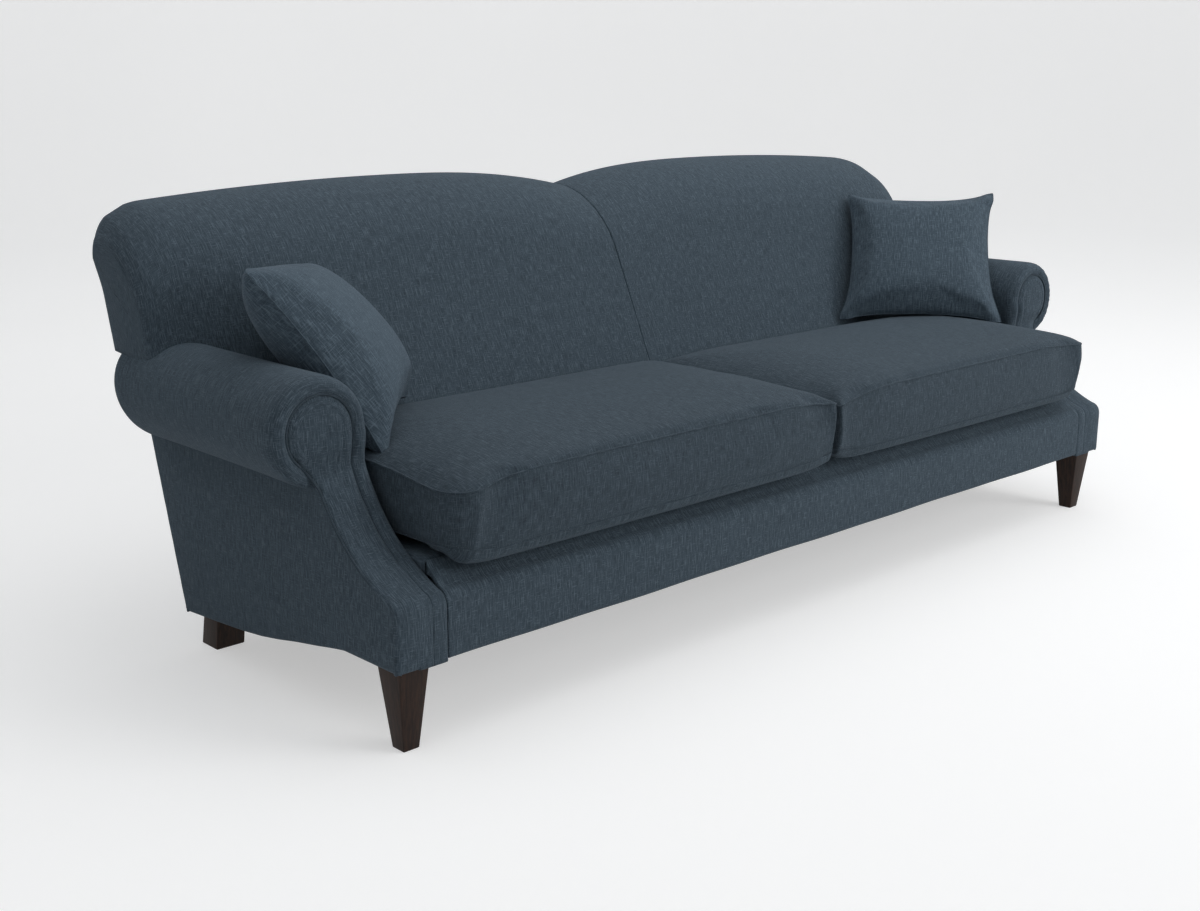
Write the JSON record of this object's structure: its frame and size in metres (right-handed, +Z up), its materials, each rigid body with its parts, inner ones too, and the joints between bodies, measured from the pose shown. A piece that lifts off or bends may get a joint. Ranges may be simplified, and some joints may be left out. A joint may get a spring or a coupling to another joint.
{
  "type": "sofa",
  "caption": "Low rolled-arm upholstered sofa with a tight double-hump back, loose box seat cushions, throw pillows and tapered dark wood legs.",
  "frame": {"origin": "on the floor under the middle of the sofa's bounding box", "axes": "+X along the sofa's length to the sitter's left, +Y from the front to the back, +Z up"},
  "size_m": [2.4738, 0.9772, 0.918],
  "materials": {
    "leg_wood": "dark espresso satin lacquer on turned-down hardwood",
    "upholstery_cloth": "dark slate-blue slubbed linen weave",
    "cushion_cloth": "dark slate-blue slubbed linen weave over foam",
    "pillow_cloth": "dark slate-blue slubbed linen weave over feather fill",
    "piping_cloth": "self-covered cord",
    "zip_tape": "dark nylon zip tape",
    "dust_cloth": "black non-woven cloth",
    "webbing": "woven jute webbing",
    "spring_steel": "plain spring wire",
    "fastener_steel": "zinc-plated",
    "plywood": "raw plywood",
    "frame_wood": "raw hardwood"
  },
  "bodies": {
    "frame": {"arm_facing_left": "upholstery_cloth", "arm_facing_right": "upholstery_cloth", "arm_front_post_left": "frame_wood", "arm_front_post_right": "frame_wood", "arm_liner_board_left": "plywood", "arm_liner_board_right": "plywood", "arm_outer_board_left": "plywood", "arm_outer_board_right": "plywood", "arm_pad_left": "upholstery_cloth", "arm_pad_right": "upholstery_cloth", "arm_piping_left": "piping_cloth", "arm_piping_right": "piping_cloth", "arm_roll_former_left": "frame_wood", "arm_roll_former_right": "frame_wood", "arm_stump_board_left": "plywood", "arm_stump_board_right": "plywood", "back_centre_post": "frame_wood", "back_leg_left": "leg_wood", "back_leg_right": "leg_wood", "back_lower_rail": "frame_wood", "back_pad_left": "upholstery_cloth", "back_pad_right": "upholstery_cloth", "back_post_left": "frame_wood", "back_post_right": "frame_wood", "back_top_rail": "frame_wood", "back_webbing": "webbing", "corner_block_screws": "fastener_steel", "corner_blocks": "frame_wood", "dust_cloth_panel": "dust_cloth", "front_leg_left": "leg_wood", "front_leg_right": "leg_wood", "front_rail": "frame_wood", "front_rail_cover": "upholstery_cloth", "leg_hanger_bolts": "fastener_steel", "leg_t_nuts": "fastener_steel", "outside_arm_left": "upholstery_cloth", "outside_arm_right": "upholstery_cloth", "outside_back": "upholstery_cloth", "seat_deck": "upholstery_cloth", "seat_rear_rail": "frame_wood", "seat_springs": "spring_steel", "seat_stretcher_left": "frame_wood", "seat_stretcher_right": "frame_wood", "spring_clips": "spring_steel"},
    "seat_cushion_left": {"seat_cushion_left": "cushion_cloth", "cushion_zip_left": "zip_tape"},
    "throw_pillow_left": {"throw_pillow_left": "pillow_cloth"},
    "seat_cushion_right": {"seat_cushion_right": "cushion_cloth", "cushion_zip_right": "zip_tape"},
    "throw_pillow_right": {"throw_pillow_right": "pillow_cloth"}
  },
  "joints": [
    {"name": "seat_cushion_left_lift", "type": "slide", "parent": "frame", "child": "seat_cushion_left", "axis": [0, 0, 1], "range_m": [0, 0.35]},
    {"name": "throw_pillow_left_lift", "type": "slide", "parent": "seat_cushion_left", "child": "throw_pillow_left", "axis": [0.4, -0.4, 0.8246], "range_m": [0, 0.3]},
    {"name": "seat_cushion_right_lift", "type": "slide", "parent": "frame", "child": "seat_cushion_right", "axis": [0, 0, 1], "range_m": [0, 0.35]},
    {"name": "throw_pillow_right_lift", "type": "slide", "parent": "seat_cushion_right", "child": "throw_pillow_right", "axis": [-0.4, -0.4, 0.8246], "range_m": [0, 0.3]}
  ]
}
